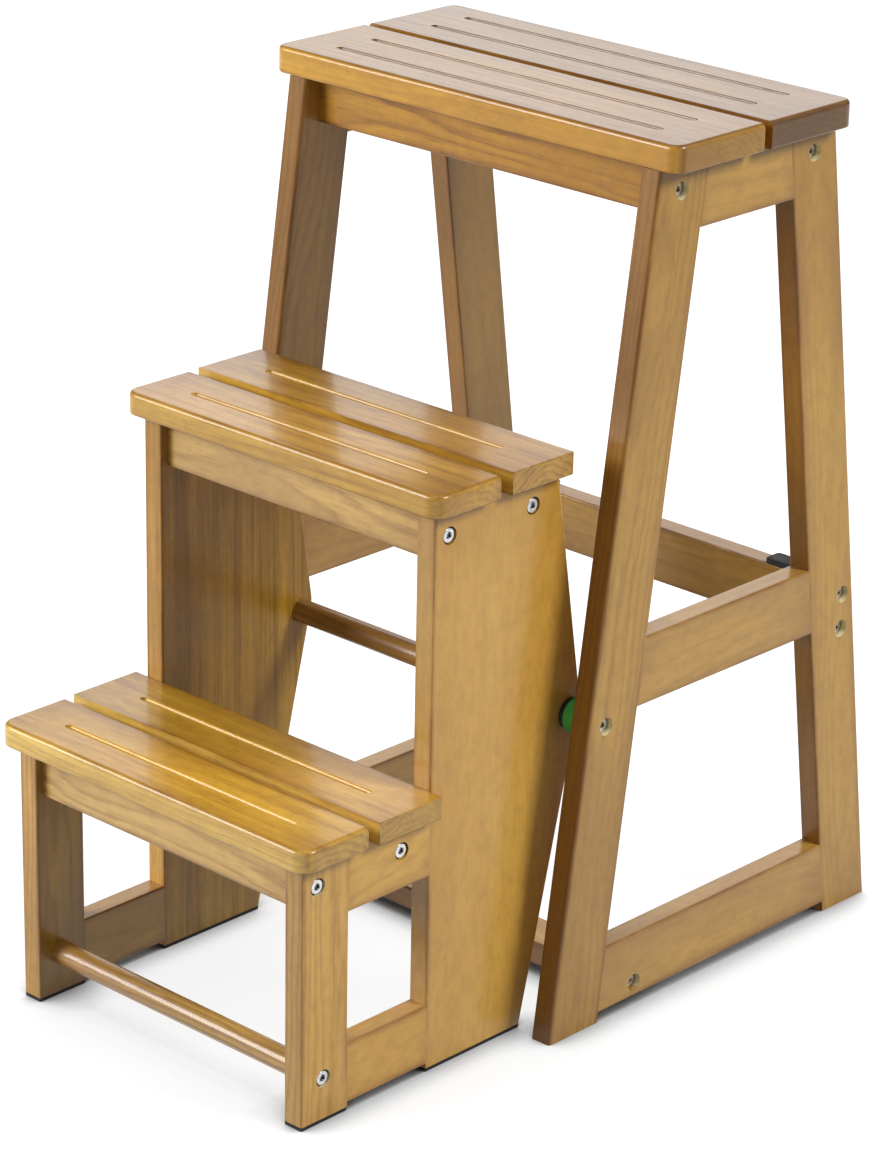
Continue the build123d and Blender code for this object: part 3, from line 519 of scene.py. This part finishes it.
def wood_of(node):
    """(tone, grain axes, strengths of the figure, the grain and the haze, coat) of a wooden node."""
    if node.startswith("front_leg"):
        return "frame", leg_axes(node, 1), 0.45, 0.40, 0.60, 0.20
    if node.startswith("rear_leg"):
        # The left rear leg takes the darker back tone, whose darkness is painted shade.
        tone = "back" if node.endswith("left") else "frame"
        return tone, leg_axes(node, -1), 0.20, 0.30, 0.60, 0.20
    # Left-hand step parts take the darker shade tone, whose darkness is painted shade.
    side_tone = "shade" if node.endswith("left") else "panel"
    if node.startswith("step_panel"):
        grain, coat = (1.5, 0.10) if side_tone == "shade" else (0.45, 0.40)
        return side_tone, UPRIGHT_SIDE, 0.12, grain, 0.40, coat
    if node.startswith("step_leg"):
        return side_tone, UPRIGHT_SIDE, 0.52, 0.45, 0.50, 0.35
    if node == "rear_cross_rail":
        return "frame", ALONG_X_UPRIGHT, 0.30, 0.5, 0.3, 0.30
    if node == "lower_stretcher":
        return "frame", ALONG_X, 0.30, 0.5, 0.3, 0.30
    if "_rail_" in node:
        tone = side_tone if node.startswith("step_") else "rail"
        return tone, ALONG_Y, 0.28, 0.35, 0.55, 0.30
    if node.startswith("seat_board"):
        tone = "seat_rear" if node.endswith("rear") else "seat"
        return tone, ALONG_X, 0.34, 1.1, 0.60, 0.45
    if node.startswith(("upper_tread_", "lower_tread_")):
        return node[:5], ALONG_X, 0.32, 1.2, 0.75, 0.45
    if "_apron_" in node:
        if node.startswith("seat"):
            return "apron", ALONG_X_UPRIGHT, 0.85, 1.0, 0.35, 0.20
        # Step aprons take the paler tone, whose paleness is a painted sheen.
        return "pale_apron", ALONG_X_UPRIGHT, 0.55, 0.8, 0.60, 0.50
    return ("dark_rod" if node == "pivot_rod" else "rod"), ALONG_X, 0.50, 1.2, 0.0, 0.45


def dress(node, material):
    """Give a CAD node one material in all its slots."""
    for slot in nodes[node].material_slots:
        slot.material = material


def dress_all():
    steel = metal_material("bright_steel", (0.66, 0.66, 0.67), 0.24)
    zinc = metal_material("dull_zinc", (0.62, 0.63, 0.66), 0.38)
    black = rubber_material("black_rubber", (0.006, 0.005, 0.005), 0.55, 2600.0)
    green = rubber_material("green_nylon", (0.055, 0.46, 0.085), 0.38, 1500.0)
    for seed, node in enumerate(sorted(nodes)):
        if "bolt" in node:
            dress(node, steel)
        elif "barrel_nuts" in node or node == "rod_inserts":
            dress(node, zinc)
        elif "bumper" in node or "_pad" in node:
            dress(node, black)
        elif "pivot_spacer" in node:
            dress(node, green)
        elif "dowels" in node:
            axes = ALONG_Z if node in UPRIGHT_DOWELS else ALONG_Y
            dress(node, wood_material(node, "raw", axes, seed, 0.3, 0.6, 0.0, 0.0))
        else:
            tone, axes, *finish = wood_of(node)
            dress(node, wood_material(node, tone, axes, seed, *finish))


# ---------------------------------------------------------------- floor and light
FLOOR_SIZE = 60.0
CONTACT_REACH = 0.038
SHADE_REACH = 0.32
SHADE_LEVEL = 0.10
SHADED_FLOOR = (0.05, 0.05, 0.05, 1.0)
FLOOR_TONES = ((0.34, 0.34, 0.345, 1.0), (0.36, 0.36, 0.365, 1.0))
FLOOR_GLOW = 0.88
FLOOR_GLOW_FAR = 0.38
GLOW_NEAR = 0.7
GLOW_FAR = 2.2


def add_floor():
    """White floor with a soft shade around the object and darker contact; the glow fades far in front."""
    mesh = bpy.data.meshes.new("floor")
    half = FLOOR_SIZE / 2
    corners = [(-half, -half, 0), (half, -half, 0), (half, half, 0), (-half, half, 0)]
    mesh.from_pydata(corners, [], [(0, 1, 2, 3)])
    floor = bpy.data.objects.new("floor", mesh)
    scene.collection.objects.link(floor)
    material, graph = new_material("floor_white")
    place = graph.add("ShaderNodeTexCoord").outputs["Object"]
    tint = graph.mix(graph.noise(place, 3.0), *FLOOR_TONES)
    contact = graph.add("ShaderNodeAmbientOcclusion", {"Distance": CONTACT_REACH}, samples=8)
    open_sky = graph.spread(contact.outputs["AO"], 0.20, 0.88)
    shade = graph.add("ShaderNodeAmbientOcclusion", {"Distance": SHADE_REACH}, samples=8)
    wide_sky = graph.spread(shade.outputs["AO"], 0.50, 0.97, SHADE_LEVEL, 1.0)
    lit = graph.math("MULTIPLY", open_sky, wide_sky)
    parts = graph.add("ShaderNodeSeparateXYZ", {0: place}).outputs
    ahead = graph.math("MAXIMUM", parts["X"], graph.math("MULTIPLY", parts["Y"], -1.0))
    glow = graph.spread(ahead, GLOW_NEAR, GLOW_FAR, FLOOR_GLOW, FLOOR_GLOW_FAR)
    glow = graph.math("MULTIPLY", open_sky, glow)
    tint = graph.mix(lit, SHADED_FLOOR, tint)
    principled = graph.add(
        "ShaderNodeBsdfPrincipled",
        {
            "Base Color": tint,
            "Roughness": 0.6,
            "Specular IOR Level": 0.1,
            "Emission Color": (1.0, 1.0, 1.0, 1.0),
            "Emission Strength": glow,
        },
    )
    finish_material(graph, principled)
    mesh.materials.append(material)
    floor.visible_diffuse = False


# Soft boxes: name, azimuth, elevation, distance, size, power
LIGHTS = (
    ("side", 111.0, 38.0, 5.0, 1.6, 182.0),
    ("front", -36.0, 22.0, 4.5, 2.0, 168.0),
    ("top", 20.0, 80.0, 3.5, 2.0, 18.0),
    ("glare", 223.0, 24.0, 3.6, 2.2, 22.5),
)
LIGHTS_AIM = Vector((0, 0, 0.3))
WORLD_STRENGTH = 0.26


def add_area_light(name, azimuth, elevation, distance, size, power):
    """Square soft box seen from the object at an azimuth and elevation, facing the object."""
    data = bpy.data.lights.new(name, "AREA")
    data.shape = "SQUARE"
    data.size = size
    data.energy = power
    light = bpy.data.objects.new(name, data)
    scene.collection.objects.link(light)
    away = direction_to(azimuth, elevation)
    light.location = LIGHTS_AIM + away * distance
    light.rotation_mode = "QUATERNION"
    light.rotation_quaternion = away.to_track_quat("Z", "Y")


def add_light():
    world = bpy.data.worlds.new("studio")
    scene.world = world
    world.use_nodes = True
    background = world.node_tree.nodes["Background"]
    background.inputs["Color"].default_value = (1.0, 1.0, 1.0, 1.0)
    background.inputs["Strength"].default_value = WORLD_STRENGTH
    for light in LIGHTS:
        add_area_light(*light)
    scene.view_settings.view_transform = "Standard"


add_camera()
dress_all()
add_floor()
add_light()
